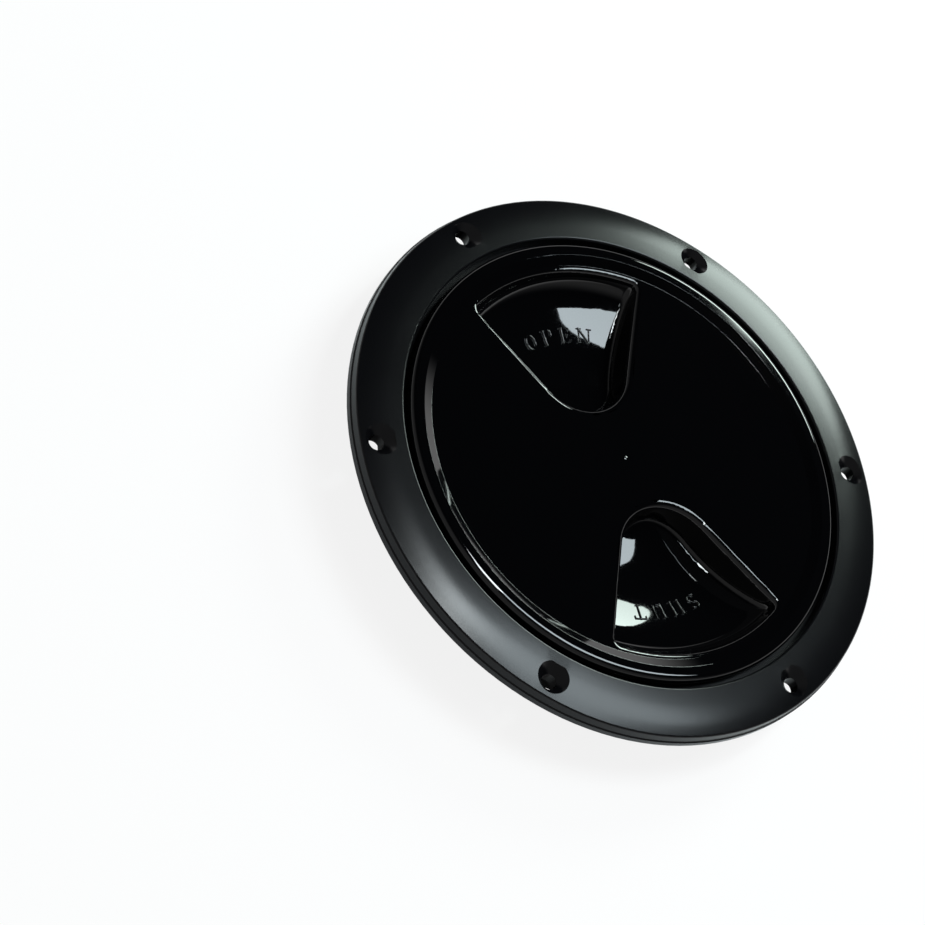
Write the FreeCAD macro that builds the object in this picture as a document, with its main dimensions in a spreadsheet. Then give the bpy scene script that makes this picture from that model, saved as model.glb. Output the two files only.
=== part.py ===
"""Screw-out access plate for a boat's deck, in millimetres.

Three pieces: a flange ring with a collar that drops through the deck, a lid
that screws into the collar and has two finger pockets, and the rubber seal
squeezed between them. The origin is on the axis in the plane of the deck, and
+Z points out of the deck.
"""

import FreeCAD, Part
import math
import os
import Sketcher

V = FreeCAD.Vector

# Two places nearer than this are the same place.
NEAR = 0.001

# Driving dimensions: name, value, meaning. Lengths in mm, angles in degrees.
SIZES = [
    ("flange_radius", 100.0, "top outer edge of the flange"),
    ("base_flare", 0.9, "how far the lower band stands out past the top edge"),
    ("base_band", 2.5, "height of the lower band, up to the mould's parting line"),
    ("parting_step", 0.45, "step inwards at the parting line"),
    ("edge_height", 5.8, "height of the flange's top outer edge over the deck"),
    ("crown_rise", 1.6, "rise of the flange's top from its outer edge to the mouth"),
    ("crown_radius", 62.0, "radius of the gentle crown across the flange"),
    ("edge_round", 0.7, "rounding of the flange's top outer edge"),
    ("flange_width", 16.4, "width of the flange's top, from its outer edge to the mouth"),
    ("mouth_round", 0.8, "rounding of the recess's upper edge"),
    ("seat_height", 2.8, "height of the seal's seat over the deck"),
    ("seat_width", 6.2, "width of the ledge inside the mouth, that the seal lies on"),
    ("collar_wall", 3.2, "wall of the collar, at the root of its thread"),
    ("collar_depth", 20.0, "how far the collar reaches below the deck"),
    ("land_width", 5.6, "bearing land round the collar's root"),
    ("skirt_wall", 2.6, "outer wall of the hollow under the flange"),
    ("flange_wall", 3.5, "thickness of the flange over its hollow"),
    ("screw_margin", 6.5, "screw holes' centres in from the flange's top edge"),
    ("screw_count", 6, "number of screw holes"),
    ("hole_radius", 2.7, "clearance hole for the screws"),
    ("boss_wall", 3.2, "wall of the boss round each screw hole, under the flange"),
    ("sink_radius", 5.2, "countersink's radius at the flange's top"),
    ("sink_angle", 90.0, "full angle of the countersink"),
    ("seal_squeeze", 2.2, "height of the squeezed seal"),
    ("seal_flat", 2.2, "width that the squeezed seal bears on"),
    ("seal_bulge", 1.3, "radius of the squeezed seal's bulging sides"),
    ("seal_play", 0.3, "gap between the seal and the lid's neck"),
    ("rim_gap", 2.0, "groove between the mouth and the lid's rim"),
    ("rim_height", 3.1, "thickness of the lid's rim"),
    ("rim_round", 0.7, "rounding of the rim's upper edge"),
    ("rim_width", 4.8, "width of the rim's flat top"),
    ("rim_slope", 3.4, "width of the slope from the rim down to the face"),
    ("slope_round", 2.2, "rounding at the head and foot of that slope"),
    ("face_drop", 3.1, "depth of the face's centre below the rim"),
    ("face_dish", 1.3, "rise of the dished face from its centre to the slope"),
    ("face_wall", 3.0, "thickness of the face at its centre"),
    ("neck_play", 0.5, "gap between the lid's neck and the collar's bore"),
    ("thread_gap", 2.8, "room between skirt and bore, where both threads are"),
    ("neck_depth", 3.2, "height of the lid's neck below the rim"),
    ("lid_wall", 2.8, "thickness of the lid's skirt"),
    ("skirt_depth", 13.0, "how far the lid's skirt reaches below the deck"),
    ("lid_heading", 40.5, "turn of the first pocket from the first screw hole"),
    ("pocket_depth", 11.2, "greatest depth of the finger pockets below the face's centre"),
    ("pocket_angle", 57.0, "angle between a pocket's two straight sides"),
    ("pocket_shift", 3.4, "sideways offset of a pocket's apex from the axis"),
    ("pocket_back", 2.0, "offset of a pocket's apex behind the axis"),
    ("pocket_nose", 19.0, "radius of a pocket's inner end"),
    ("pocket_margin", 2.0, "width of the face between the pockets and the slope"),
    ("pocket_scoop", 9.0, "radius of the scoop from a pocket's floor to its outer wall"),
    ("floor_curve", 62.0, "radius of a pocket's hollow floor, seen in a cut through the axis"),
    ("floor_inset", 30.4, "how far in from the outer wall a pocket's floor is lowest"),
    ("pocket_draft", 8.0, "draft of the pockets' sides"),
    ("pocket_blend", 2.2, "rounding of a pocket's outer corners and round its floor"),
    ("pocket_wall", 2.6, "thickness of the pockets' shells"),
    ("lip_round", 1.2, "rounding of the pockets' upper edge"),
    ("small_round", 0.4, "broken edges out of sight"),
]


def plan_places(kind, grow):
    """Places of a pocket's plan, widened all round by grow."""
    half = "places.half_angle"
    return [
        (f"{kind}_nose", f"sizes.pocket_nose + {grow}", "radius of the inner end"),
        (f"{kind}_apex", f"-sizes.pocket_back - {grow} / sin({half})", "apex of the sides"),
        (f"{kind}_run", f"places.{kind}_nose / tan({half})", "apex to the inner end's arc"),
        (f"{kind}_touch", f"places.{kind}_apex + places.{kind}_run * cos({half})",
         "where the sides meet that arc"),
        (f"{kind}_swing", f"places.{kind}_run * sin({half})", "half the width there"),
        (f"{kind}_spread", f"(places.rim_radius - places.{kind}_apex) * tan({half})",
         "half the width at the rim"),
    ]


# Places that follow from the driving dimensions: name, formula, meaning.
PLACES = [
    ("base_edge", "sizes.flange_radius + sizes.base_flare", "outside of the lower band"),
    ("step_edge", "places.base_edge - sizes.parting_step", "outside, over the parting line"),
    ("step_level", "sizes.base_band + sizes.parting_step", "top of the parting line's step"),
    ("crown_level", "sizes.edge_height + sizes.crown_rise", "top of the flange at the mouth"),
    ("mouth_radius", "sizes.flange_radius - sizes.flange_width", "recess for the lid's rim"),
    ("bore_radius", "places.mouth_radius - sizes.seat_width", "inside of the collar"),
    ("collar_radius", "places.bore_radius + sizes.collar_wall", "outside of the collar"),
    ("screw_circle", "sizes.flange_radius - sizes.screw_margin", "circle of the screw holes"),
    ("rim_radius", "places.mouth_radius - sizes.rim_gap", "outside of the lid's rim"),
    ("rim_inner", "places.rim_radius - sizes.rim_width", "inner edge of the rim's flat top"),
    ("land_edge", "places.collar_radius + sizes.land_width", "outside of the bearing land"),
    ("hollow_edge", "places.base_edge - sizes.skirt_wall", "outside of the hollow"),
    ("hollow_level", "sizes.edge_height - sizes.flange_wall", "roof of the hollow"),
    ("sink_rise", "sizes.crown_rise / 2", "height of the screw holes over the flange's edge"),
    ("sink_level", "sizes.edge_height + places.sink_rise", "flange's top at the screw holes"),
    ("sink_slope", "tan(sizes.sink_angle / 2)", "countersink's widening per height"),
    ("sink_foot", "places.sink_level - (sizes.sink_radius - sizes.hole_radius) / places.sink_slope",
     "where the countersink meets the hole"),
    ("sink_reach", "places.screw_circle + sizes.sink_radius + places.sink_rise * places.sink_slope",
     "countersink carried up to clear the crown"),
    ("rim_under", "sizes.seat_height + sizes.seal_squeeze", "underside of the lid's rim"),
    ("rim_top", "places.rim_under + sizes.rim_height", "top of the lid's rim"),
    ("face_level", "places.rim_top - sizes.face_drop", "centre of the lid's face"),
    ("face_under", "places.face_level - sizes.face_wall", "underside of the lid's face"),
    ("slope_foot", "places.rim_inner - sizes.rim_slope", "edge of the dished face"),
    ("pocket_radius", "places.slope_foot - sizes.pocket_margin", "outer wall of the pockets"),
    ("slope_level", "places.face_level + sizes.face_dish", "height of the face at its edge"),
    ("dish_radius", "(places.slope_foot ^ 2 + sizes.face_dish ^ 2) / (2 * sizes.face_dish)",
     "radius of the dished face's arc"),
    ("neck_radius", "places.bore_radius - sizes.neck_play", "outside of the lid's neck"),
    ("neck_level", "places.rim_under - sizes.neck_depth", "bottom of the lid's neck"),
    ("skirt_radius", "places.bore_radius - sizes.thread_gap", "outside of the lid's skirt"),
    ("skirt_inner", "places.skirt_radius - sizes.lid_wall", "inside of the lid's skirt"),
    ("shoulder_level", "places.neck_level - sizes.thread_gap + sizes.neck_play",
     "where the neck has narrowed to the skirt"),
    ("seal_swell", "sizes.seal_bulge - sqrt(sizes.seal_bulge ^ 2 - (sizes.seal_squeeze / 2) ^ 2)",
     "how far the seal bulges past its flats"),
    ("seal_inner", "places.neck_radius + sizes.seal_play + places.seal_swell",
     "inner edge of the seal's flats"),
    ("seal_outer", "places.seal_inner + sizes.seal_flat", "outer edge of the seal's flats"),
    ("floor_level", "places.face_level - sizes.pocket_depth", "lowest place of the pockets"),
    ("floor_low", "places.pocket_radius - sizes.floor_inset", "radius where the floor is lowest"),
    ("floor_centre", "places.floor_level + sizes.floor_curve", "height of the floor's centre"),
    ("floor_start", "places.floor_low / 4", "radius that the hollow floor is drawn from"),
    ("scoop_place", "places.pocket_radius - sizes.pocket_scoop", "radius of the scoop's centre"),
    ("scoop_lean", "asin((places.scoop_place - places.floor_low)"
     " / (sizes.floor_curve - sizes.pocket_scoop))", "slope where floor and scoop meet"),
    ("scoop_centre", "places.floor_centre"
     " - (sizes.floor_curve - sizes.pocket_scoop) * cos(places.scoop_lean)",
     "height of the scoop's centre"),
    ("half_angle", "sizes.pocket_angle / 2", "half the angle of a pocket"),
    ("space_top", "places.rim_top + sizes.face_dish", "height that the pockets are cut from"),
    ("space_depth", "places.space_top - places.floor_level + sizes.pocket_wall",
     "length of the pockets' sides from there"),
    ("space_growth", "(places.space_top - places.face_level) * tan(sizes.pocket_draft)",
     "widening of the pockets up to there"),
    ("shell_top", "places.face_level - sizes.face_wall / 2", "height that the shells start at"),
    ("shell_depth", "places.shell_top - places.floor_level + 2 * sizes.pocket_wall",
     "length of the shells' sides from there"),
    *plan_places("space", "places.space_growth"),
    *plan_places("shell", "sizes.pocket_wall"),
]


def fill_sheet(name, rows, prefix=""):
    """Sheet with a meaning, a value and an alias in every row."""
    sheet = doc.addObject("Spreadsheet::Sheet", name)
    for row, (alias, value, meaning) in enumerate(rows, start=1):
        sheet.set(f"A{row}", meaning)
        sheet.set(f"B{row}", f"{prefix}{value}")
        sheet.setAlias(f"B{row}", alias)
        doc.recompute()
    return sheet


doc = FreeCAD.newDocument("access_plate")
sizes = fill_sheet("sizes", SIZES)
places = fill_sheet("places", PLACES, "=")


def amount(expression):
    """Value of an expression on the sheet, as a plain number."""
    result = sizes.evalExpression(expression)
    return float(getattr(result, "Value", result))


def constrain(sketch, kind, place, expression):
    """Tie one coordinate of a sketch's vertex, from the origin, to the sheet."""
    if expression == "0":
        axis = -2 if kind == "DistanceX" else -1
        sketch.addConstraint(Sketcher.Constraint("PointOnObject", *place, axis))
        return
    datum = Sketcher.Constraint(kind, -1, 1, *place, amount(expression))
    index = sketch.addConstraint(datum)
    sketch.setExpression(f"Constraints[{index}]", expression)


def arc_between(start, end, radius):
    """Anticlockwise arc from start to end, less than half a circle."""
    chord = end - start
    rise = max(radius ** 2 - (chord.Length / 2) ** 2, 0) ** 0.5
    centre = start + chord * 0.5 + V(-chord.y, chord.x, 0).normalize() * rise
    angles = [math.atan2(point.y - centre.y, point.x - centre.x) for point in (start, end)]
    if angles[1] < angles[0]:
        angles[1] += 2 * math.pi
    return Part.ArcOfCircle(Part.Circle(centre, V(0, 0, 1), radius), *angles)


def draw(sketch, corners, arcs=None):
    """Closed outline through the corners, each a pair of expressions.

    arcs gives, for the side that leaves a corner, its radius and whether it
    turns anticlockwise (1) or clockwise (-1); every other side is straight.
    """
    arcs = arcs or {}
    points = [V(amount(x), amount(y), 0) for x, y in corners]
    starts, ends = [], []
    for side, start in enumerate(points):
        end = points[(side + 1) % len(points)]
        if side in arcs:
            radius, turn = arcs[side]
            first, last = (start, end) if turn == 1 else (end, start)
            piece = sketch.addGeometry(arc_between(first, last, amount(radius)))
            index = sketch.addConstraint(Sketcher.Constraint("Radius", piece, amount(radius)))
            sketch.setExpression(f"Constraints[{index}]", radius)
            forwards = turn == 1
        else:
            piece = sketch.addGeometry(Part.LineSegment(start, end))
            forwards = True
        starts.append((piece, 1 if forwards else 2))
        ends.append((piece, 2 if forwards else 1))
    for side, (x, y) in enumerate(corners):
        sketch.addConstraint(Sketcher.Constraint("Coincident", *ends[side - 1], *starts[side]))
        constrain(sketch, "DistanceX", starts[side], x)
        constrain(sketch, "DistanceY", starts[side], y)


def new_body(name):
    body = doc.addObject("PartDesign::Body", name)
    doc.recompute()
    return body


def body_sketch(body, name, role):
    """Empty sketch on one of the body's own origin planes."""
    sketch = body.newObject("Sketcher::SketchObject", name)
    plane = next(item for item in body.Origin.OriginFeatures if item.Role == role)
    sketch.AttachmentSupport = [(plane, "")]
    sketch.MapMode = "FlatFace"
    return sketch


def revolve(body, name, corners, arcs=None):
    """Solid of revolution about the body's Z axis, from corners (radius, height)."""
    sketch = body_sketch(body, name + "_outline", "YZ_Plane")
    draw(sketch, corners, arcs)
    solid = body.newObject("PartDesign::Revolution", name)
    solid.Profile = sketch
    solid.ReferenceAxis = (sketch, ["V_Axis"])
    solid.Angle = 360
    doc.recompute()
    return solid


def turned_circle(edge):
    """Radius and height of an edge that circles the Z axis, or None."""
    if edge.Degenerated or not isinstance(edge.Curve, Part.Circle):
        return None
    centre = edge.Curve.Center
    if math.hypot(centre.x, centre.y) > NEAR:
        return None
    return edge.Curve.Radius, centre.z


def circle_edges(shape, radius, height):
    """Names of the edges that circle the Z axis at one radius and height."""
    names = []
    for number, edge in enumerate(shape.Edges, start=1):
        circle = turned_circle(edge)
        if circle and math.dist(circle, (amount(radius), amount(height))) < NEAR:
            names.append(f"Edge{number}")
    return names


def middle_of(edge):
    """Radius and height of an edge's midpoint."""
    middle = edge.valueAt((edge.FirstParameter + edge.LastParameter) / 2)
    return math.hypot(middle.x, middle.y), middle.z


def round_circles(body, name, radius, places):
    """Fillet of one radius on the circular edges at places (radius, height)."""
    base = body.Tip
    names = [edge for place in places for edge in circle_edges(base.Shape, *place)]
    fillet = body.newObject("PartDesign::Fillet", name)
    fillet.Base = (base, names)
    fillet.setExpression("Radius", radius)
    doc.recompute()
    return fillet


# Flange ring: crowned top, hollow underside, recess for the lid and collar.
ring = new_body("ring_body")
revolve(
    ring, "ring_blank",
    [
        ("places.base_edge", "0"),
        ("places.base_edge", "sizes.base_band"),
        ("places.step_edge", "places.step_level"),
        ("sizes.flange_radius", "sizes.edge_height"),
        ("places.mouth_radius", "places.crown_level"),
        ("places.mouth_radius", "sizes.seat_height"),
        ("places.bore_radius", "sizes.seat_height"),
        ("places.bore_radius", "-sizes.collar_depth"),
        ("places.collar_radius", "-sizes.collar_depth"),
        ("places.collar_radius", "0"),
        ("places.land_edge", "0"),
        ("places.land_edge", "places.hollow_level"),
        ("places.hollow_edge", "places.hollow_level"),
        ("places.hollow_edge", "0"),
    ],
    {3: ("sizes.crown_radius", 1)},
)
round_circles(ring, "edge_rounding", "sizes.edge_round", [("sizes.flange_radius", "sizes.edge_height")])
round_circles(ring, "mouth_rounding", "sizes.mouth_round", [("places.mouth_radius", "places.crown_level")])
round_circles(
    ring, "ring_broken_edges", "sizes.small_round",
    [
        ("places.base_edge", "0"),
        ("places.bore_radius", "sizes.seat_height"),
        ("places.bore_radius", "-sizes.collar_depth"),
        ("places.collar_radius", "-sizes.collar_depth"),
    ],
)


def turn_on_screw(kind, name, corners):
    """Feature of the ring, turned about the first screw's axis, its outline's last side."""
    outline = body_sketch(ring, name + "_outline", "XZ_Plane")
    draw(outline, corners)
    feature = ring.newObject(kind, name)
    feature.Profile = outline
    feature.ReferenceAxis = (outline, [f"Edge{len(corners)}"])
    feature.Angle = 360
    doc.recompute()
    return feature


# Countersunk screw holes. Each has a boss that carries its wall down to the deck
# and runs into the flange's outer wall, as the two are too close to stay apart.
boss_edge = "places.screw_circle + sizes.hole_radius + sizes.boss_wall"
boss = turn_on_screw(
    "PartDesign::Revolution", "screw_boss",
    [
        ("places.screw_circle", "0"),
        (boss_edge, "0"),
        (boss_edge, "places.hollow_level"),
        ("places.screw_circle", "places.hollow_level"),
    ],
)
hole = turn_on_screw(
    "PartDesign::Groove", "screw_hole",
    [
        ("places.screw_circle", "0"),
        ("places.screw_circle + sizes.hole_radius", "0"),
        ("places.screw_circle + sizes.hole_radius", "places.sink_foot"),
        ("places.sink_reach", "places.crown_level"),
        ("places.screw_circle", "places.crown_level"),
    ],
)
holes = ring.newObject("PartDesign::PolarPattern", "screw_holes")
holes.Originals = [boss, hole]
ring_axis = next(item for item in ring.Origin.OriginFeatures if item.Role == "Z_Axis")
holes.Axis = (ring_axis, [""])
holes.Angle = 360
holes.setExpression("Occurrences", "sizes.screw_count")
ring.Tip = holes
doc.recompute()

# Seal: a rubber ring squeezed flat between the seat and the lid's rim.
seal = new_body("seal_body")
revolve(
    seal, "seal_ring",
    [
        ("places.seal_inner", "sizes.seat_height"),
        ("places.seal_outer", "sizes.seat_height"),
        ("places.seal_outer", "places.rim_under"),
        ("places.seal_inner", "places.rim_under"),
    ],
    {1: ("sizes.seal_bulge", 1), 3: ("sizes.seal_bulge", 1)},
)

# Lid without its pockets: raised rim, dished face, neck and threaded skirt.
blank = new_body("lid_blank")
revolve(
    blank, "lid_turned",
    [
        ("0", "places.face_level"),
        ("0", "places.face_under"),
        ("places.skirt_inner", "places.face_under"),
        ("places.skirt_inner", "-sizes.skirt_depth"),
        ("places.skirt_radius", "-sizes.skirt_depth"),
        ("places.skirt_radius", "places.shoulder_level"),
        ("places.neck_radius", "places.neck_level"),
        ("places.neck_radius", "places.rim_under"),
        ("places.rim_radius", "places.rim_under"),
        ("places.rim_radius", "places.rim_top"),
        ("places.rim_inner", "places.rim_top"),
        ("places.slope_foot", "places.slope_level"),
    ],
    {11: ("places.dish_radius", -1)},
)
round_circles(blank, "rim_rounding", "sizes.rim_round", [("places.rim_radius", "places.rim_top")])
round_circles(
    blank, "slope_rounding", "sizes.slope_round",
    [("places.rim_inner", "places.rim_top"), ("places.slope_foot", "places.slope_level")],
)
round_circles(
    blank, "lid_broken_edges", "sizes.small_round",
    [
        ("places.rim_radius", "places.rim_under"),
        ("places.skirt_radius", "-sizes.skirt_depth"),
        ("places.skirt_inner", "-sizes.skirt_depth"),
    ],
)


def sector(kind):
    """Block over a pocket's plan, a rounded sector, narrowing downwards by the draft."""
    plan = doc.addObject("Sketcher::SketchObject", f"{kind}_plan")
    touch = f"places.{kind}_touch"
    draw(
        plan,
        [
            (touch, f"sizes.pocket_shift - places.{kind}_swing"),
            ("places.rim_radius", f"sizes.pocket_shift - places.{kind}_spread"),
            ("places.rim_radius", f"sizes.pocket_shift + places.{kind}_spread"),
            (touch, f"sizes.pocket_shift + places.{kind}_swing"),
        ],
        {3: (f"places.{kind}_nose", 1)},
    )
    plan.setExpression("Placement.Base.z", f"places.{kind}_top")
    block = doc.addObject("Part::Extrusion", f"{kind}_sides")
    block.Base = plan
    block.DirMode = "Custom"
    block.Dir = V(0, 0, -1)
    block.Solid = True
    block.setExpression("LengthFwd", f"places.{kind}_depth")
    block.setExpression("TaperAngle", "-sizes.pocket_draft")
    return block


def bowl(name, grow):
    """Turned bowl that gives a pocket its hollow floor and its scooped outer wall."""
    body = new_body(name)
    floor = f"(sizes.floor_curve + {grow})"
    start = f"places.floor_centre - sqrt({floor} ^ 2 - (places.floor_low - places.floor_start) ^ 2)"
    revolve(
        body, name + "_turned",
        [
            ("0", start),
            ("places.floor_start", start),
            (f"places.floor_low + {floor} * sin(places.scoop_lean)",
             f"places.floor_centre - {floor} * cos(places.scoop_lean)"),
            (f"places.pocket_radius + {grow}", "places.scoop_centre"),
            (f"places.pocket_radius + {grow}", "places.space_top"),
            ("0", "places.space_top"),
        ],
        {1: (floor, 1), 2: (f"sizes.pocket_scoop + {grow}", 1)},
    )
    return body


def sides_on_bowl(shape, grow):
    """Numbers of the edges where a pocket's sides meet its floor, scoop and wall."""
    floor = amount("sizes.floor_curve") + grow
    scoop = amount("sizes.pocket_scoop") + grow
    wall = amount("places.pocket_radius") + grow
    floor_centre = amount("places.floor_low"), amount("places.floor_centre")
    scoop_centre = amount("places.scoop_place"), amount("places.scoop_centre")
    found = []
    for number, edge in enumerate(shape.Edges, start=1):
        if edge.Degenerated or turned_circle(edge):
            continue
        middle = middle_of(edge)
        gaps = (
            floor - math.dist(middle, floor_centre),
            scoop - math.dist(middle, scoop_centre),
            wall - middle[0],
        )
        if min(abs(gap) for gap in gaps) < NEAR:
            found.append(number)
    return found


def blend(name, solid, numbers, radius):
    """Fillet of one radius on the numbered edges."""
    fillet = doc.addObject("Part::Fillet", name)
    fillet.Base = solid
    fillet.Edges = [(number, radius, radius) for number in numbers]
    doc.recompute()
    return fillet


def pocket_form(kind, grow):
    """One pocket's solid, its sides blended into its floor, and its twin opposite."""
    parts = [sector(kind), bowl(f"{kind}_bowl", grow)]
    sharp = doc.addObject("Part::MultiCommon", f"{kind}_sharp")
    sharp.Shapes = parts
    doc.recompute()
    radius = amount("sizes.pocket_blend") + amount(grow)
    form = blend(f"{kind}_form", sharp, sides_on_bowl(sharp.Shape, amount(grow)), radius)
    twin = doc.addObject("App::Link", f"{kind}_twin")
    twin.LinkedObject = form
    twin.Placement = FreeCAD.Placement(V(0, 0, 0), FreeCAD.Rotation(V(0, 0, 1), 180))
    return [form, twin]


def lip_edges(shape):
    """Numbers of the edges where the pockets break through the dished face."""
    found = []
    dish = amount("places.dish_radius")
    for number, edge in enumerate(shape.Edges, start=1):
        if edge.Degenerated:
            continue
        radius, level = middle_of(edge)
        reach = max(math.hypot(corner.X, corner.Y) for corner in edge.Vertexes)
        face = amount("places.face_level") + dish - math.sqrt(max(dish ** 2 - radius ** 2, 0))
        if abs(level - face) < NEAR and reach < amount("places.pocket_radius") + NEAR:
            found.append(number)
    return found


# Lid: shells hang under the face, and the pockets' spaces are cut out of them.
shells = pocket_form("shell", "sizes.pocket_wall")
spaces = pocket_form("space", "0")
solid_lid = doc.addObject("Part::MultiFuse", "lid_with_shells")
solid_lid.Shapes = [blank, *shells]
doc.recompute()
both_spaces = doc.addObject("Part::MultiFuse", "both_spaces")
both_spaces.Shapes = spaces
doc.recompute()
cut_lid = doc.addObject("Part::Cut", "lid_with_pockets")
cut_lid.Base = solid_lid
cut_lid.Tool = both_spaces
doc.recompute()
lid = blend("lid_body", cut_lid, lip_edges(cut_lid.Shape), amount("sizes.lip_round"))
lid.setExpression("Placement.Rotation.Angle", "sizes.lid_heading")
doc.recompute()

# Every object has to be sound before anything is written.
NODES = {"deck_ring": ring, "o_ring": seal, "screw_lid": lid}
for item in doc.Objects:
    if "Invalid" in item.State or "Error" in item.State:
        raise RuntimeError(f"{item.Name} failed: {item.State}")
for node, item in NODES.items():
    item.Label = node
    shape = item.Shape
    if shape.isNull() or not shape.isValid() or len(shape.Solids) != 1:
        raise RuntimeError(f"{node} isn't one valid solid")

os.makedirs("parts", exist_ok=True)
for node, item in NODES.items():
    item.Shape.exportStep(os.path.join("parts", f"{node}.step"))
    box = item.Shape.optimalBoundingBox()
    print(f"{node}: {item.Shape.Volume / 1000:.1f} cm3, {len(item.Shape.Faces)} faces,"
          f" radius {box.XMax:.1f}, from {box.ZMin:.2f} to {box.ZMax:.2f} mm")
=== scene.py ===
# %% [markdown]
# # A screw-in access plate
# This is the round black hatch that closes a hand hole in a boat's deck: a flange with
# a threaded collar, a lid that screws into it, and a rubber ring between the two.
# The three solids come from the CAD model and stay exactly where they are. Here they
# get their finishes, and a copy with other roundings stands for the lid. The small
# things that a solid leaves out get their own surfaces: the screw thread, the raised
# words and the mark of the moulding gate.

# %% Load the solids
import math

import bmesh
import bpy
import numpy as np
from mathutils import Matrix, Vector
from mathutils.bvhtree import BVHTree


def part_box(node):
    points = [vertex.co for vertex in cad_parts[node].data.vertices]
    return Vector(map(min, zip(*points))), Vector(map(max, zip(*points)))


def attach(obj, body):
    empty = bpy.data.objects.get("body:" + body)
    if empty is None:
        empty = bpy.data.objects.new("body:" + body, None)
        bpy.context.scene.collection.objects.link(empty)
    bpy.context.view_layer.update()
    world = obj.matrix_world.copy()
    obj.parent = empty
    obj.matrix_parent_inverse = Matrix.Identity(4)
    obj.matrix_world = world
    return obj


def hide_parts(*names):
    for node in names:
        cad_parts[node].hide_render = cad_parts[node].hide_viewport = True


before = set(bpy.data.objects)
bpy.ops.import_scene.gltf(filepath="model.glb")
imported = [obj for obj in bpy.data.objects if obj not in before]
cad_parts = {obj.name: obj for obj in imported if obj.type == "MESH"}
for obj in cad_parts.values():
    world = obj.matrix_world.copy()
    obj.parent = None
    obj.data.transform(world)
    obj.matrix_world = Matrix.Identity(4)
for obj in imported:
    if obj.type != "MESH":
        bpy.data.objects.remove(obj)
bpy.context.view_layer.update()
MM = 0.001
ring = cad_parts["deck_ring"]
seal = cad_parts["o_ring"]
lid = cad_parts["screw_lid"]
scene = bpy.context.scene
scene.view_settings.view_transform = "Standard"
for name in sorted(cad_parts):
    low, high = ([round(v / MM, 2) for v in corner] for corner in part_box(name))
    print(name, "from", low, "to", high, "mm")

# %% [markdown]
# ## The camera
# The plate was photographed from above and to one side, with the camera rolled, so the
# disc looks like a leaning ellipse. The place and the turn below put the six screw holes
# and both rims where the photograph has them. They were found by fitting the four
# concentric edges and the holes, which is safer than judging an angle by eye.

# %% Place the camera
SENSOR = 36.0
FOCAL = 96.75
CAMERA_PLACE = (-513.2, 222.3, 627.7)
CAMERA_TURN = (29.443, -26.958, -70.864)

camera_data = bpy.data.cameras.new("camera")
camera_data.sensor_width = SENSOR
camera_data.lens = FOCAL
camera_data.clip_start = 0.01
camera_data.clip_end = 100
camera = bpy.data.objects.new("camera", camera_data)
camera.location = Vector(CAMERA_PLACE) * MM
camera.rotation_euler = [math.radians(angle) for angle in CAMERA_TURN]
scene.collection.objects.link(camera)
scene.camera = camera
print("camera", round(camera.location.length / MM), "mm from the plate's centre")

# %% [markdown]
# ## The floor, the world and the lamps
# A glossy black thing is seen by what it mirrors, so the lamps matter as much as the
# finish. Following the camera's rays to the plate and on to what they mirror shows the
# room: a soft box high on the far side, a round umbrella low behind it, a narrow strip
# overhead, a white backdrop all round up to about 10 degrees, and a black drape where
# the lid's flat face looks, with pale walls beyond it. The box and the umbrella take
# their place, size and turn from the edges of their own reflections in the finger
# pockets. The strip draws the line along the second pocket's lip and round the near
# side of the rim. The floor is white, but close in its white is faded out in what
# mirrors it, a painted shade that stands for the plate's shade, so the flange's side
# wall stays black.

# %% Helpers for materials and light
def srgb(code):
    """Linear colour of an sRGB hex value: each channel over 255, then the sRGB curve undone."""
    channels = [int(code[i:i + 2], 16) / 255 for i in (1, 3, 5)]
    linear = [c / 12.92 if c <= 0.04045 else ((c + 0.055) / 1.055) ** 2.4 for c in channels]
    return (*linear, 1.0)


def add(tree, kind, links=None, **settings):
    """Adds a node, sets its properties and its inputs' values, and links its inputs."""
    node = tree.nodes.new(kind)
    for key, value in settings.items():
        if hasattr(node, key):
            setattr(node, key, value)
        else:
            node.inputs[key.replace("_", " ")].default_value = value
    for key, socket in (links or {}).items():
        tree.links.new(socket, node.inputs[key])
    return node


def new_tree(block):
    """The empty node tree of a material or world."""
    block.use_nodes = True
    block.node_tree.nodes.clear()
    return block.node_tree


WHITE = "#ffffff"

# %% Floor
FLOOR_SIZE = 6.0        # metres
FLOOR_GAP = 0.2         # millimetres under the collar's end

floor_mesh = bpy.data.meshes.new("floor")
half = FLOOR_SIZE / 2
floor_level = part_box("deck_ring")[0].z - FLOOR_GAP * MM
corners = [(-half, -half, floor_level), (half, -half, floor_level),
           (half, half, floor_level), (-half, half, floor_level)]
floor_mesh.from_pydata(corners, [], [(0, 1, 2, 3)])
floor = bpy.data.objects.new("floor", floor_mesh)
scene.collection.objects.link(floor)
print("floor at", round(floor_level / MM, 2), "mm")

# %% Matt white paint of the floor, with a painted shade close to the plate
FLOOR_WHITE = 0.86      # share of its look that is plain white, whatever the lamps do
FLOOR_COLOUR = "#f4f4f4"
PAINTED_SHADE_INSIDE = 0.125    # metres from the axis where the painted shade round the plate begins to fade
PAINTED_SHADE_OUTSIDE = 0.30    # metres from the axis where it has gone

floor_paint = bpy.data.materials.new("matt_white_floor")
tree = new_tree(floor_paint)
ray = add(tree, "ShaderNodeLightPath")
where = add(tree, "ShaderNodeTexCoord")
flat = add(tree, "ShaderNodeVectorMath", {0: where.outputs["Object"]}, operation="MULTIPLY")
flat.inputs[1].default_value = (1, 1, 0)
away = add(tree, "ShaderNodeVectorMath", {0: flat.outputs[0]}, operation="LENGTH")
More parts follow.
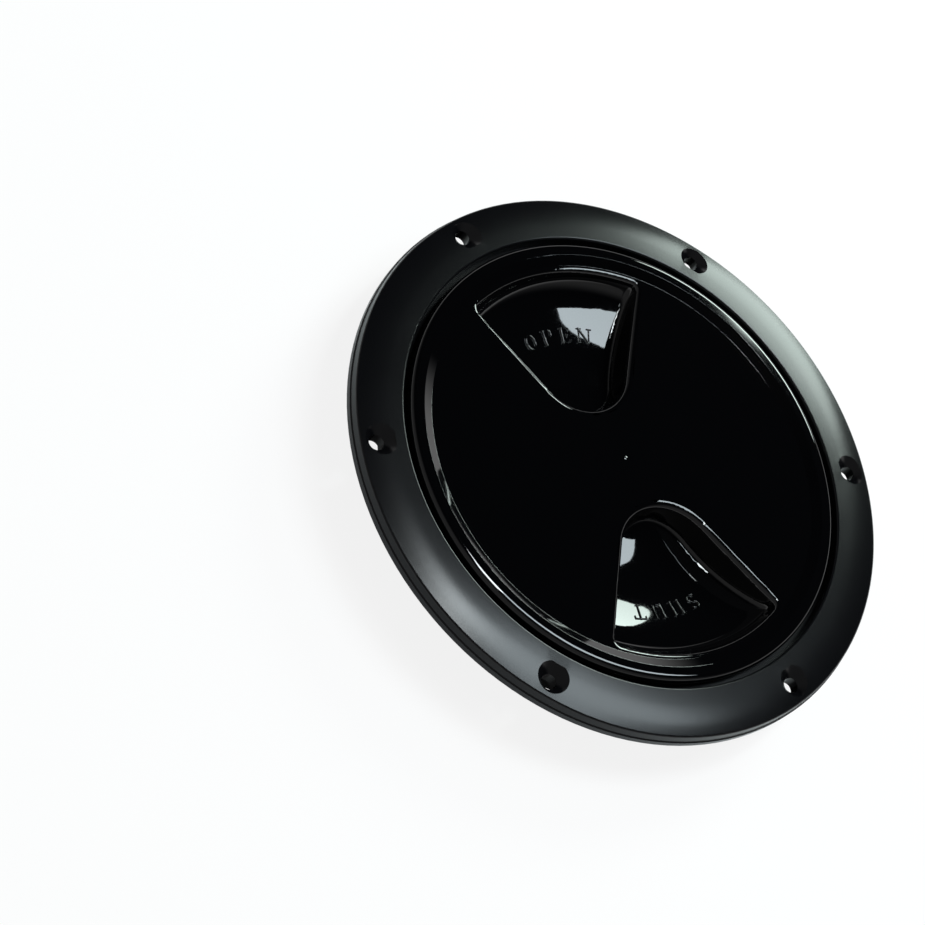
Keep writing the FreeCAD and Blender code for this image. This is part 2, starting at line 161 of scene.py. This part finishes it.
# Painted shade: close to the plate the floor's white is taken out of what mirrors the floor,
# standing in for the plate's shade.
clear = add(tree, "ShaderNodeMapRange", {"Value": away.outputs["Value"]},
            interpolation_type="SMOOTHSTEP", From_Min=PAINTED_SHADE_INSIDE, From_Max=PAINTED_SHADE_OUTSIDE)
sharp = add(tree, "ShaderNodeMath",
            {0: ray.outputs["Is Glossy Ray"], 1: ray.outputs["Is Transmission Ray"]},
            operation="MAXIMUM")
mirrored = add(tree, "ShaderNodeMath", {0: sharp.outputs[0], 1: clear.outputs[0]},
               operation="MULTIPLY")
seen = add(tree, "ShaderNodeMath", {0: ray.outputs["Is Camera Ray"], 1: mirrored.outputs[0]},
           operation="MAXIMUM")
share = add(tree, "ShaderNodeMath", {0: seen.outputs[0]}, operation="MULTIPLY")
share.inputs[1].default_value = FLOOR_WHITE
matt = add(tree, "ShaderNodeBsdfDiffuse", Color=srgb(FLOOR_COLOUR))
glow = add(tree, "ShaderNodeEmission", Color=srgb(WHITE), Strength=1.0)
both = add(tree, "ShaderNodeMixShader",
           {0: share.outputs[0], 1: matt.outputs[0], 2: glow.outputs[0]})
add(tree, "ShaderNodeOutputMaterial", {"Surface": both.outputs[0]})
floor_mesh.materials.append(floor_paint)
print("floor paint:", floor_paint.name, "with", len(tree.nodes), "nodes")

# %% World
BACKDROP_TOP = 0.08     # sine of the elevation where the white backdrop begins to fade
BACKDROP_FADE = 0.24    # sine of the elevation where it has gone
ROOM_LIGHT = 0.25       # what lights matt surfaces from all round
ROOM_WHITE = 0.3        # how pale the walls beyond the drape look in a mirror
DRAPE_WAY = (0.616, -0.261, 0.743)
DRAPE_CORE = 0.70       # cosine of the angle off that way up to which the drape is black
DRAPE_EDGE = 0.15       # cosine of the angle from which only the walls show

world = bpy.data.worlds.new("studio")
scene.world = world
tree = new_tree(world)
ray = add(tree, "ShaderNodeLightPath")
way = add(tree, "ShaderNodeTexCoord")
# How near a direction is to the middle of the black drape: 1 at it, 0 square to it.
drape = add(tree, "ShaderNodeVectorMath", {0: way.outputs["Generated"]}, operation="DOT_PRODUCT")
drape.inputs[1].default_value = DRAPE_WAY
drape = add(tree, "ShaderNodeMapRange", {"Value": drape.outputs["Value"]},
            interpolation_type="SMOOTHSTEP", From_Min=DRAPE_EDGE, From_Max=DRAPE_CORE,
            To_Min=ROOM_WHITE, To_Max=0.0)
way = add(tree, "ShaderNodeSeparateXYZ", {"Vector": way.outputs["Generated"]})
# The Z of a direction is the sine of its elevation: backdrop below, drape and walls above.
ceiling = add(tree, "ShaderNodeMapRange", {"Value": way.outputs["Z"]},
              interpolation_type="SMOOTHSTEP", From_Min=BACKDROP_TOP, From_Max=BACKDROP_FADE)
room = add(tree, "ShaderNodeBackground", Color=srgb(WHITE), Strength=ROOM_LIGHT)
walls = add(tree, "ShaderNodeBackground", {"Strength": drape.outputs[0]}, Color=srgb(WHITE))
white = add(tree, "ShaderNodeBackground", Color=srgb(WHITE), Strength=1.0)
backdrop = add(tree, "ShaderNodeMixShader",
               {0: ceiling.outputs[0], 1: white.outputs[0], 2: walls.outputs[0]})
sharp = add(tree, "ShaderNodeMath",
            {0: ray.outputs["Is Glossy Ray"], 1: ray.outputs["Is Transmission Ray"]},
            operation="MAXIMUM")
mirrored = add(tree, "ShaderNodeMixShader",
               {0: sharp.outputs[0], 1: room.outputs[0], 2: backdrop.outputs[0]})
shown = add(tree, "ShaderNodeMixShader",
            {0: ray.outputs["Is Camera Ray"], 1: mirrored.outputs[0], 2: white.outputs[0]})
add(tree, "ShaderNodeOutputWorld", {"Surface": shown.outputs[0]})
print("world:", world.name, "with", len(tree.nodes), "nodes")


# %% Lamps
def softbox(name, azimuth, elevation, distance, width, height, brightness, colour,
            roll=0, shape="RECTANGLE"):
    """Area lamp on a sphere round the plate, facing it. Its watts are pi times area times
    brightness, which is how bright it looks in a mirror; an ellipse fills pi / 4 of its box.
    Angles are in degrees, the distance and the two sides in metres."""
    data = bpy.data.lights.new(name, "AREA")
    data.shape = shape
    data.size = width
    data.size_y = height
    data.color = srgb(colour)[:3]
    filled = math.pi / 4 if shape == "ELLIPSE" else 1
    data.energy = math.pi * width * height * filled * brightness
    lamp = bpy.data.objects.new(name, data)
    a, e = math.radians(azimuth), math.radians(elevation)
    way = Vector((math.cos(a) * math.cos(e), math.sin(a) * math.cos(e), math.sin(e)))
    lamp.location = way * distance
    turn = way.to_track_quat("Z", "Y").to_matrix() @ Matrix.Rotation(math.radians(roll), 3, "Z")
    lamp.rotation_euler = turn.to_euler()
    scene.collection.objects.link(lamp)
    print(name, round(data.energy, 2), "watts")


softbox("high_box", -50, 66.6, 1.314, 0.454, 0.506, 12.0, "#e6f4fa", roll=8.4)
softbox("low_umbrella", -22, 30, 1.27, 0.40, 0.54, 16.0, "#eefff8", shape="ELLIPSE")
softbox("overhead_strip", -22, 80, 1.40, 0.12, 0.62, 26.0, "#eef6f8")

# %% [markdown]
# ## The finishes
# Both plastic pieces are black ASA, the weatherproof cousin of ABS, moulded in steel.
# The flange came from a mould with a fine spark-eroded grain, so it shines broadly and
# softly, and its tiny pits swallow about half of what a clean face would mirror. The
# lid came from a polished one and mirrors the lamps sharply, with a slow ripple of a
# few millimetres, as the plastic shrank. The seal is moulded EPDM rubber, duller than
# both. A spark-eroded grain is about 0.1 mm across and too fine to show in the render,
# so here it is drawn at 0.5 mm, and shallow.

# %% Moulded plastic and rubber
CLOUD = 18.0            # millimetres across the broad patches where the roughness varies
PLASTIC_IOR = 1.5


def plastic(name, colour, roughness, grain, grain_depth, spread, gloss=0.5):
    """Black moulded plastic: grain and its depth in millimetres as bump, roughness that varies
    by spread, and gloss as the specular level, where 0.5 is a clean surface of this IOR."""
    material = bpy.data.materials.new(name)
    tree = new_tree(material)
    where = add(tree, "ShaderNodeTexCoord")
    fine = add(tree, "ShaderNodeTexNoise", {"Vector": where.outputs["Object"]},
               Scale=1 / (grain * MM), Detail=3.0, Roughness=0.6)
    broad = add(tree, "ShaderNodeTexNoise", {"Vector": where.outputs["Object"]},
                Scale=1 / (CLOUD * MM), Detail=4.0, Roughness=0.55)
    rough = add(tree, "ShaderNodeMapRange", {"Value": broad.outputs["Fac"]},
                To_Min=roughness - spread, To_Max=roughness + spread)
    bump = add(tree, "ShaderNodeBump", {"Height": fine.outputs["Fac"]},
               Strength=1.0, Distance=grain_depth * MM)
    shade = add(tree, "ShaderNodeBsdfPrincipled",
                {"Roughness": rough.outputs[0], "Normal": bump.outputs["Normal"]},
                Base_Color=srgb(colour), IOR=PLASTIC_IOR, Specular_IOR_Level=gloss)
    add(tree, "ShaderNodeOutputMaterial", {"Surface": shade.outputs[0]})
    return material


def dress(node, material):
    """Gives a CAD node one finish in every slot."""
    node.data.materials.clear()
    node.data.materials.append(material)


asa_grained = plastic("asa_moulded_grained", "#08080a", 0.20, 0.5, 0.003, 0.015, 0.24)
asa_polished = plastic("asa_moulded_polished", "#040405", 0.03, 6.0, 0.0006, 0.01)
epdm = plastic("epdm_moulded", "#101011", 0.55, 0.4, 0.01, 0.05)
dress(ring, asa_grained)
dress(lid, asa_polished)
dress(seal, epdm)
print("materials:", asa_grained.name, asa_polished.name, epdm.name)

# %% [markdown]
# ## The lid's rounded edges
# On a gloss part every rounding shows as a line of light, as wide as the rounding is
# large. The real lid has one such line round the outside of its rim and one along each
# finger pocket's lip, and next to none along the slope inside the rim. So the rim and
# the lips are rounded generously and the slope is tight, and the solid's own roundings
# are too small on the first two and too large on the third. A rounding between two
# straight sides keeps its angles when it is scaled about their corner, so a copy of the
# lid's mesh has its rounded rings and lips moved that way, keeps its shading normals,
# and stands for the lid.

# %% Points and normals of a copy of the lid
edged = lid.data.copy()
edged.name = "screw_lid_edged"
corner_normals = np.empty(len(edged.loops) * 3)
edged.corner_normals.foreach_get("vector", corner_normals)
kept_normals = edged.attributes.new("kept_normals", "FLOAT_VECTOR", "CORNER")
kept_normals.data.foreach_set("vector", corner_normals)
points = np.empty(len(edged.vertices) * 3)
edged.vertices.foreach_get("co", points)
# The mesh holds a point once for each face that meets there: the copies have to move as one.
points, shared = np.unique(points.reshape(-1, 3), axis=0, return_inverse=True)
shared = shared.reshape(-1)
radius = np.hypot(points[:, 0], points[:, 1]) / MM
height = points[:, 2] / MM
print("lid:", len(shared), "points at", len(points), "places")

# %% Scale the roundings of the rim and of the slope inside it
# A corner is the radius and height in millimetres where two straight sides would meet.
RIM_CORNER = (81.6, 8.1)
SLOPE_HEAD = (76.8, 8.1)
SLOPE_FOOT = (73.4, 6.3)
RIM_REACH = 0.72        # millimetres from the corner to the end of the solid's rounding
SLOPE_REACH = 0.58
RIM_SCALE = 3.1
SLOPE_SCALE = 0.05

moved = 0
for (corner_radius, corner_height), reach, scale in (
        (RIM_CORNER, RIM_REACH, RIM_SCALE), (SLOPE_HEAD, SLOPE_REACH, SLOPE_SCALE),
        (SLOPE_FOOT, SLOPE_REACH, SLOPE_SCALE)):
    near = (np.abs(radius - corner_radius) < reach) & (np.abs(height - corner_height) < reach)
    new_radius = corner_radius + scale * (radius[near] - corner_radius)
    points[near, :2] *= (new_radius / radius[near])[:, None]
    points[near, 2] = (corner_height + scale * (height[near] - corner_height)) * MM
    moved += int(near.sum())
print("rim and slope: moved", moved, "places")

# %% Find the lips of the pockets
# Along a lip each point knows its corner from its normal: tilt from the vertical, and way
# into the pocket. Points on the face have no such way and take the nearest lip point's.
FACE_CENTRE = 5.0       # height of the dished face on the axis, in millimetres
LIP_ROUND = 1.2         # the solid's rounding, in millimetres
LIP_OUTSIDE = 72.7      # radius past which no lip lies, in millimetres
LIP_STEP = 0.8          # how far from a lip its neighbours on the face lie, in millimetres
WALL_TILT = math.radians(90 - 8)
FLAT_TILT = math.radians(3)
TILT_SLACK = 0.05       # radians
ABOVE_SLACK = 0.03      # millimetres over the face and under the rounding's low end
BELOW_SLACK = 0.08

corner_vertex = np.empty(len(edged.loops), dtype=np.int32)
edged.loops.foreach_get("vertex_index", corner_vertex)
facing = np.zeros((len(points), 3))
np.add.at(facing, shared[corner_vertex], corner_normals.reshape(-1, 3))
facing /= np.linalg.norm(facing, axis=1)[:, None]
tilt = np.arccos(np.clip(facing[:, 2], -1, 1))
# The face is a dish: it rises with the square of the radius up to the slope's foot.
face_level = FACE_CENTRE + (SLOPE_FOOT[1] - FACE_CENTRE) * (radius / SLOPE_FOOT[0]) ** 2
depth = face_level - height
low_end = LIP_ROUND * (1 - math.cos(WALL_TILT)) + BELOW_SLACK
band = (radius < LIP_OUTSIDE) & (depth > -ABOVE_SLACK) & (depth < low_end)
rounded = np.flatnonzero(band & (tilt > FLAT_TILT) & (tilt < WALL_TILT + TILT_SLACK))
level = np.flatnonzero(band & (tilt <= FLAT_TILT))
inward = facing[rounded, :2] / np.linalg.norm(facing[rounded, :2], axis=1)[:, None]
gaps = np.linalg.norm(points[level, None, :] - points[None, rounded, :], axis=2) / MM
nearest = gaps.argmin(1)
edge = gaps.min(1) < LIP_STEP
level, level_inward = level[edge], inward[nearest[edge]]
print("lips:", len(rounded), "rounded and", len(level), "level places")

# %% Scale the lips
LIP_SCALE = 2.1         # along a pocket's sides
LIP_OUTER_SCALE = 1.3   # at its outer wall
LIP_FADE = 4.0          # millimetres over which the one becomes the other


def lip_growth(which, way):
    """Growth of the rounding's radius in metres. The outer wall is low, so a lip that faces the
    axis grows little, and the others fade to that within a few millimetres of it."""
    outer = np.clip(-(way * points[which, :2]).sum(1) / (radius[which] * MM), 0, 1)
    room = np.clip((LIP_OUTSIDE - radius[which]) / LIP_FADE, 0, 1)
    sides = (LIP_SCALE - 1) * (1 - outer) * room
    return LIP_ROUND * MM * (sides + (LIP_OUTER_SCALE - 1) * outer)


# From the corner, a rounding of radius r starts r * tan(wall tilt / 2) back on the face. Its
# point at tilt a lies r * sin(a) further in and r * (1 - cos(a)) lower.
half_turn = math.tan(WALL_TILT / 2)
rounded_growth = lip_growth(rounded, inward)
level_growth = lip_growth(level, level_inward)
points[rounded, :2] += (rounded_growth * (np.sin(tilt[rounded]) - half_turn))[:, None] * inward
points[rounded, 2] += rounded_growth * (np.cos(tilt[rounded]) - 1)
points[level, :2] -= (level_growth * half_turn)[:, None] * level_inward
print("lips: widest rounding", round(LIP_ROUND + rounded_growth.max() / MM, 2), "mm")

# %% Merge the copy and let it stand for the lid
MERGE = 0.0005          # millimetres

edged.vertices.foreach_set("co", points[shared].reshape(-1))
shell = bmesh.new()
shell.from_mesh(edged)
bmesh.ops.remove_doubles(shell, verts=shell.verts, dist=MERGE * MM)
shell.to_mesh(edged)
shell.free()
corner_normals = np.empty(len(edged.loops) * 3)
edged.attributes["kept_normals"].data.foreach_get("vector", corner_normals)
edged.normals_split_custom_set(corner_normals.reshape(-1, 3).tolist())
edged.attributes.remove(edged.attributes["kept_normals"])
lid_edged = bpy.data.objects.new("screw_lid_edged", edged)
scene.collection.objects.link(lid_edged)
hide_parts("screw_lid")
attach(lid_edged, "lid")
print("lid: merged to", len(edged.vertices), "points")

# %% [markdown]
# ## The screw thread
# Two coarse ridges, one inside the collar and one round the lid's skirt, rise 5 mm a
# turn. A ridge is a section with bevelled shoulders, carried along a helix and worked
# out as one array.

# %% Section of a ridge
RIDGE_HEIGHT = 1.8      # all in millimetres
RIDGE_FOOT = 3.2
RIDGE_CREST = 1.3
RIDGE_SINK = 0.25       # how deep its foot stands in the wall
SHOULDER = 0.85         # share of the height where the bevel starts
BEVEL_OUT = 0.1         # how far the bevel starts outside the crest's edge, and ends inside it
BEVEL_IN = 0.25

half_section = np.array([(-RIDGE_SINK, RIDGE_FOOT / 2), (0.0, RIDGE_FOOT / 2),
                         (RIDGE_HEIGHT * SHOULDER, RIDGE_CREST / 2 + BEVEL_OUT),
                         (RIDGE_HEIGHT, RIDGE_CREST / 2 - BEVEL_IN)])
section = np.concatenate([half_section * (1, -1), half_section[::-1]])
print("ridge section of", len(section), "points")

# %% Thread ridges
PITCH = 5.0             # all in millimetres, from the axis or the deck's face
BORE = 77.4
SKIRT = 74.6
COLLAR_RIDGE = (-13.2, -2.9)
LID_RIDGE = (-10.7, -2.4)
RUN_OUT = 25.0          # degrees over which a ridge fades at each end
END_WIDTH = 0.35        # share of its width that it keeps there
STEPS_A_TURN = 120


def grid_mesh(name, points, material):
    """Mesh of a grid of points, closed round its second direction, with both ends capped."""
    rows, columns, _ = points.shape
    mesh = bpy.data.meshes.new(name)
    index = np.arange(rows * columns).reshape(rows, columns)
    a, b = index[:-1], index[1:]
    quads = np.stack([a, np.roll(a, -1, 1), np.roll(b, -1, 1), b], -1).reshape(-1, 4)
    faces = quads.tolist() + [index[0][::-1].tolist(), index[-1].tolist()]
    mesh.from_pydata(points.reshape(-1, 3).tolist(), [], faces)
    mesh.materials.append(material)
    mesh.shade_smooth()
    piece = bpy.data.objects.new(name, mesh)
    scene.collection.objects.link(piece)
    print(name, len(mesh.polygons), "faces")
    return piece


def thread(name, root, inward, low, high, material):
    """Helical ridge: angle t runs from the low to the high end, height is pitch times t over
    a turn, and the section stands on the wall, its height fading to nothing at both ends."""
    turns = (high - low) / PITCH
    t = np.linspace(0, turns * 2 * math.pi, int(turns * STEPS_A_TURN))
    side = -1 if inward else 1
    fade = np.clip(np.minimum(t, t[-1] - t) / math.radians(RUN_OUT), 0, 1)
    fade = (fade * fade * (3 - 2 * fade))[:, None]
    radius = root + side * section[:, 0] * np.where(section[:, 0] > 0, fade, 1)
    width = END_WIDTH + (1 - END_WIDTH) * fade
    height = low + PITCH * t[:, None] / (2 * math.pi) + section[:, 1] * width
    points = np.stack([radius * np.cos(t)[:, None], radius * np.sin(t)[:, None], height], -1) * MM
    if not inward:
        points = points[:, ::-1]
    return grid_mesh(name, points, material)


collar_thread = thread("collar_thread", BORE, True, *COLLAR_RIDGE, asa_grained)
lid_thread = thread("lid_thread", SKIRT, False, *LID_RIDGE, asa_polished)
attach(collar_thread, "ring")
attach(lid_thread, "lid")

# %% [markdown]
# ## The raised words
# Each pocket's floor carries one word in raised serif letters, cut into the mould, that
# says which way a push opens or shuts the lid. A letter is a set of strokes, each a line
# with a half width at both ends. On a fine grid the distance to the nearest stroke,
# divided by its half width, gives a rounded ridge, and the grid is then bent round the
# lid's axis and laid on the hollow floor. Beyond a stroke the ridge dips under the
# floor, so the edge of a letter is a clean line where the two surfaces cross.

# %% Strokes of the letters
CAP = 5.5               # height of a letter, and the half widths of strokes, in millimetres
THICK = 0.52
THIN = 0.30
SERIF = 0.26
SERIF_REACH = 0.8
SERIF_INSET = 0.2


def bend(centre, reach, start, end, first, last, steps=14):
    """Strokes along part of an ellipse from start to end degrees. The half width swells from
    first to last with the size of the angle's cosine, fullest where the ellipse is upright."""
    t = np.radians(np.linspace(start, end, steps + 1))
    x = centre[0] + reach[0] * np.cos(t)
    y = centre[1] + reach[1] * np.sin(t)
    width = first + (last - first) * np.abs(np.cos(t))
    return list(zip(x[:-1], y[:-1], x[1:], y[1:], width[:-1], width[1:]))


def line(x0, y0, x1, y1, width):
    """One stroke of even half width."""
    return [(x0, y0, x1, y1, width, width)]


def stem(x, width, foot=True, head=True):
    """Upright stroke with a serif at its foot and its head."""
    low, high = SERIF_INSET, CAP - SERIF_INSET
    strokes = line(x, low, x, high, width)
    for y, wanted in ((low, foot), (high, head)):
        strokes += line(x - SERIF_REACH, y, x + SERIF_REACH, y, SERIF) if wanted else []
    return strokes


# Each letter's width, and its strokes with x from its left edge and y from its foot.
LETTERS = {
    "O": (4.5, bend((2.25, 2.75), (1.8, 2.5), 0, 360, THIN, THICK, 32)),
    "P": (4.2, stem(0.9, THICK) + line(0.9, 5.3, 2.4, 5.3, THIN) + line(0.9, 2.6, 2.4, 2.6, THIN)
          + bend((2.4, 3.95), (1.4, 1.35), -90, 90, THIN, THICK)),
    "E": (4.4, stem(0.9, THICK) + line(0.9, 5.3, 3.7, 5.3, THIN) + line(3.7, 5.3, 3.8, 4.3, SERIF)
          + line(0.9, 2.8, 2.9, 2.8, THIN) + line(2.9, 2.3, 2.9, 3.3, SERIF)
          + line(0.9, 0.2, 3.9, 0.2, THIN) + line(3.9, 0.2, 4.1, 1.3, SERIF)),
    "N": (5.6, stem(0.8, THIN) + stem(4.8, THIN, foot=False)
          + line(0.8, 5.3, 4.8, 0.1, THICK)),
    "S": (4.0, bend((2.0, 4.05), (1.35, 1.25), 25, 255, THIN, THICK)
          + bend((2.0, 1.5), (1.5, 1.3), -155, 75, THIN, THICK)
          + line(3.3, 4.5, 3.4, 5.2, SERIF) + line(0.6, 0.9, 0.5, 0.3, SERIF)),
    "H": (5.0, stem(0.9, THICK) + stem(4.1, THICK) + line(0.9, 2.8, 4.1, 2.8, THIN)),
    "U": (5.0, stem(0.9, THICK, foot=False) + stem(4.1, THIN, foot=False)
          + bend((2.5, 1.8), (1.6, 1.55), 180, 360, THIN, THICK)),
    "T": (4.6, stem(2.3, THICK, head=False) + line(0.3, 5.3, 4.3, 5.3, THIN)
          + line(0.3, 5.3, 0.2, 4.4, SERIF) + line(4.3, 5.3, 4.4, 4.4, SERIF)),
}
print("strokes:", {letter: len(strokes) for letter, (_, strokes) in LETTERS.items()})

# %% Height of the lid under a point
ABOVE = 60              # millimetres, well over the lid

lid_skin = BVHTree.FromPolygons([v.co.copy() for v in lid.data.vertices],
                                [tuple(face.vertices) for face in lid.data.polygons])


def level_under(radius, azimuth):
    """Height in mm of the lid's upper surface at a radius in mm and an azimuth in degrees."""
    turn = math.radians(azimuth)
    above = Vector((radius * math.cos(turn), radius * math.sin(turn), ABOVE)) * MM
    return lid_skin.ray_cast(above, Vector((0, 0, -1)))[0].z / MM


# %% Raised words on the pocket floors
FOOT_RADIUS = 49.3      # of the line that the letters stand on, in millimetres
LETTER_STEP = 8.4       # degrees
LETTER_HEIGHT = 0.5     # the rest in millimetres
GRID = 0.09
DIP = 0.2
MARGIN = 0.6            # grid above and below the letters
NO_STROKE = 9.0         # half widths, more than any ridge reaches
OPEN_AZIMUTH = 41.8
SHUT_AZIMUTH = OPEN_AZIMUTH + 180


def word(name, text, middle):
    """Raised word, read clockwise with its tops outwards, centred on an azimuth in degrees.
    A grid point's angle is its place along the text over the text's radius, and its height
    is the floor's plus letter height times 1 - q * q, q being distance over half width."""
    text_radius = FOOT_RADIUS + CAP / 2
    reach = math.radians(LETTER_STEP * len(text)) * text_radius
    x = np.arange(-reach / 2, reach / 2, GRID)
    y = np.arange(-MARGIN, CAP + MARGIN, GRID)
    gx, gy = np.meshgrid(x, y, indexing="ij")
    q = np.full(gx.shape, NO_STROKE)
    for place, letter in enumerate(text):
        width, strokes = LETTERS[letter]
        shift = reach * ((place + 0.5) / len(text) - 0.5) - width / 2
        for x0, y0, x1, y1, w0, w1 in strokes:
            dx, dy = x1 - x0, y1 - y0
            t = np.clip(((gx - shift - x0) * dx + (gy - y0) * dy) / (dx * dx + dy * dy), 0, 1)
            far = np.hypot(gx - shift - x0 - t * dx, gy - y0 - t * dy)
            q = np.minimum(q, far / (w0 + t * (w1 - w0)))
    ridge = np.maximum(LETTER_HEIGHT * (1 - q * q), -DIP)
    turn = math.radians(middle) - gx / text_radius
    radius = FOOT_RADIUS + gy
    height = np.array([level_under(FOOT_RADIUS + v, middle) for v in y])[None, :] + ridge
    points = np.stack([radius * np.cos(turn), radius * np.sin(turn), height], -1) * MM
    index = np.arange(gx.size).reshape(gx.shape)
    quads = np.stack([index[:-1, :-1], index[1:, :-1], index[1:, 1:], index[:-1, 1:]], -1)
    quads = quads.reshape(-1, 4)
    kept = quads[(ridge.reshape(-1)[quads] > -DIP).any(1)]
    used, kept = np.unique(kept, return_inverse=True)
    mesh = bpy.data.meshes.new(name)
    mesh.from_pydata(points.reshape(-1, 3)[used].tolist(), [], kept.reshape(-1, 4).tolist())
    mesh.materials.append(asa_polished)
    mesh.shade_smooth()
    piece = bpy.data.objects.new(name, mesh)
    scene.collection.objects.link(piece)
    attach(piece, "lid")
    up = sum(face.normal.z for face in mesh.polygons) / len(mesh.polygons)
    print(name, len(mesh.polygons), "faces, mean upward normal", round(up, 2))


word("open_word", "OPEN", OPEN_AZIMUTH)
word("shut_word", "SHUT", SHUT_AZIMUTH)

# %% [markdown]
# ## The gate mark
# The lid is filled through its middle, and cutting off the sprue leaves a low bead there.
# It is a turned dome: a ring of points for each step from its foot to its top.

# %% Gate bead in the middle of the face
BEAD_RADIUS = 0.9       # all in millimetres
BEAD_HEIGHT = 0.12
BEAD_SINK = 0.1
BESIDE_AXIS = 0.05      # where the face's height is measured
BEAD_RINGS = 9
BEAD_SIDES = 40

rise = np.linspace(0, math.pi / 2, BEAD_RINGS + 1)[:-1]
turn = np.linspace(0, 2 * math.pi, BEAD_SIDES, endpoint=False)
bead_level = level_under(BESIDE_AXIS, 0)
foot_level = bead_level - BEAD_SINK
up = np.repeat(np.sin(rise)[:, None], BEAD_SIDES, 1) * (BEAD_HEIGHT + BEAD_SINK)
rings = np.stack([np.outer(np.cos(rise), np.cos(turn)) * BEAD_RADIUS,
                  np.outer(np.cos(rise), np.sin(turn)) * BEAD_RADIUS, up + foot_level], -1)
top = np.array([[0, 0, bead_level + BEAD_HEIGHT]])
index = np.arange(BEAD_RINGS * BEAD_SIDES).reshape(BEAD_RINGS, BEAD_SIDES)
sides = np.stack([index[:-1], np.roll(index[:-1], -1, 1),
                  np.roll(index[1:], -1, 1), index[1:]], -1).reshape(-1, 4)
peak = np.full(BEAD_SIDES, index.size)
cap = np.stack([index[-1], np.roll(index[-1], -1), peak], -1)
mesh = bpy.data.meshes.new("gate_bead")
mesh.from_pydata((np.concatenate([rings.reshape(-1, 3), top]) * MM).tolist(), [],
                 sides.tolist() + cap.tolist() + [index[0][::-1].tolist()])
mesh.materials.append(asa_polished)
mesh.shade_smooth()
bead = bpy.data.objects.new("gate_bead", mesh)
scene.collection.objects.link(bead)
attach(bead, "lid")
print("gate_bead", len(mesh.polygons), "faces at", round(bead_level, 2), "mm")
